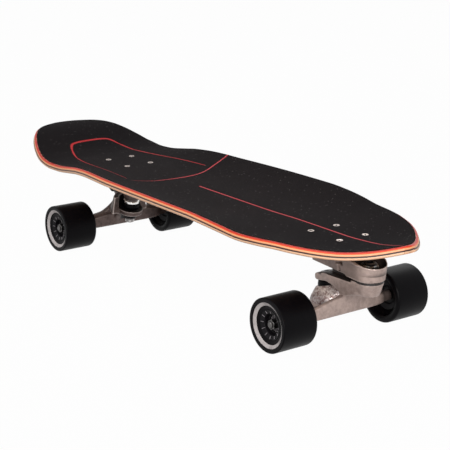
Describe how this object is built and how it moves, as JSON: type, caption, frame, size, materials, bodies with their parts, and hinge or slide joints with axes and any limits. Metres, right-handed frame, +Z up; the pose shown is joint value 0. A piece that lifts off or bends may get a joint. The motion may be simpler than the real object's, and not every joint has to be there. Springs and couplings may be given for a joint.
{
  "type": "surf skateboard",
  "caption": "Surf skateboard with a kicked concave deck, a spring swing-arm front truck and a plain kingpin rear truck.",
  "frame": {"origin": "on the floor under the middle of the deck's length", "axes": "+X towards the nose, +Y to the rider's left, +Z up"},
  "size_m": [0.8191, 0.2476, 0.1574],
  "materials": {
    "wood": "lacquered maple plies",
    "grip": "matt abrasive sheet",
    "casting": "raw cast",
    "steel": "zinc plated",
    "black_steel": "black oxide",
    "urethane": "glossy cast urethane",
    "core": "moulded",
    "bushing": "cast urethane",
    "riser": "moulded"
  },
  "bodies": {
    "board": {"deck": "wood", "grip": "grip", "deck_bolt_front_1": "steel", "deck_bolt_front_2": "steel", "deck_bolt_front_3": "steel", "deck_bolt_front_4": "steel", "deck_bolt_rear_1": "steel", "deck_bolt_rear_2": "steel", "deck_bolt_rear_3": "steel", "deck_bolt_rear_4": "steel", "front_baseplate": "casting", "swing_shaft": "black_steel", "swing_nut": "black_steel", "swing_thrust_washer": "steel", "swing_thrust_bearing": "black_steel", "rear_riser": "riser", "rear_baseplate": "casting", "rear_pivot_cup": "bushing", "rear_washer_upper": "steel", "rear_kingpin": "steel", "rear_bushing_upper": "bushing", "rear_bushing_lower": "bushing", "rear_washer_lower": "steel", "rear_kingpin_nut": "steel"},
    "swing_arm": {"front_arm": "casting", "return_spring": "steel", "spring_plunger": "steel", "front_kingpin": "steel", "front_bushing_upper": "bushing", "front_bushing_lower": "bushing", "front_washer_lower": "steel", "front_kingpin_nut": "steel", "front_pivot_cup": "bushing"},
    "front_hanger": {"front_hanger": "casting", "front_axle": "steel", "front_left_axle_nut": "steel", "front_right_axle_nut": "steel"},
    "rear_hanger": {"rear_hanger": "casting", "rear_axle": "steel", "rear_left_axle_nut": "steel", "rear_right_axle_nut": "steel"},
    "front_left_wheel": {"front_left_tyre": "urethane", "front_left_core": "core", "front_left_bearing_outer": "steel", "front_left_bearing_inner": "steel"},
    "front_right_wheel": {"front_right_tyre": "urethane", "front_right_core": "core", "front_right_bearing_outer": "steel", "front_right_bearing_inner": "steel"},
    "rear_left_wheel": {"rear_left_tyre": "urethane", "rear_left_core": "core", "rear_left_bearing_outer": "steel", "rear_left_bearing_inner": "steel"},
    "rear_right_wheel": {"rear_right_tyre": "urethane", "rear_right_core": "core", "rear_right_bearing_outer": "steel", "rear_right_bearing_inner": "steel"}
  },
  "joints": [
    {"name": "front_swing", "type": "hinge", "parent": "board", "child": "swing_arm", "pos_m": [0.3433, 0, 0.0872], "axis": [0.0523, 0, 0.9986], "range_deg": [-25, 25], "stiffness_Nm_per_rad": 10},
    {"name": "front_lean", "type": "hinge", "parent": "swing_arm", "child": "front_hanger", "pos_m": [0.27255, 0, 0.04816], "axis": [0.9225, 0, 0.3859], "range_deg": [-14, 14], "stiffness_Nm_per_rad": 40, "deforming": ["front_bushing_upper", "front_bushing_lower"]},
    {"name": "rear_lean", "type": "hinge", "parent": "board", "child": "rear_hanger", "pos_m": [-0.20114, 0, 0.05218], "axis": [-0.8829, 0, 0.4695], "range_deg": [-14, 14], "stiffness_Nm_per_rad": 40, "deforming": ["rear_bushing_upper", "rear_bushing_lower"]},
    {"name": "front_left_spin", "type": "hinge", "parent": "front_hanger", "child": "front_left_wheel", "pos_m": [0.2938, 0.0913, 0.0345], "axis": [0, 1, 0], "continuous": true},
    {"name": "front_right_spin", "type": "hinge", "parent": "front_hanger", "child": "front_right_wheel", "pos_m": [0.2938, -0.0913, 0.0345], "axis": [0, 1, 0], "continuous": true},
    {"name": "rear_left_spin", "type": "hinge", "parent": "rear_hanger", "child": "rear_left_wheel", "pos_m": [-0.2272, 0.0913, 0.0345], "axis": [0, 1, 0], "continuous": true},
    {"name": "rear_right_spin", "type": "hinge", "parent": "rear_hanger", "child": "rear_right_wheel", "pos_m": [-0.2272, -0.0913, 0.0345], "axis": [0, 1, 0], "continuous": true}
  ]
}
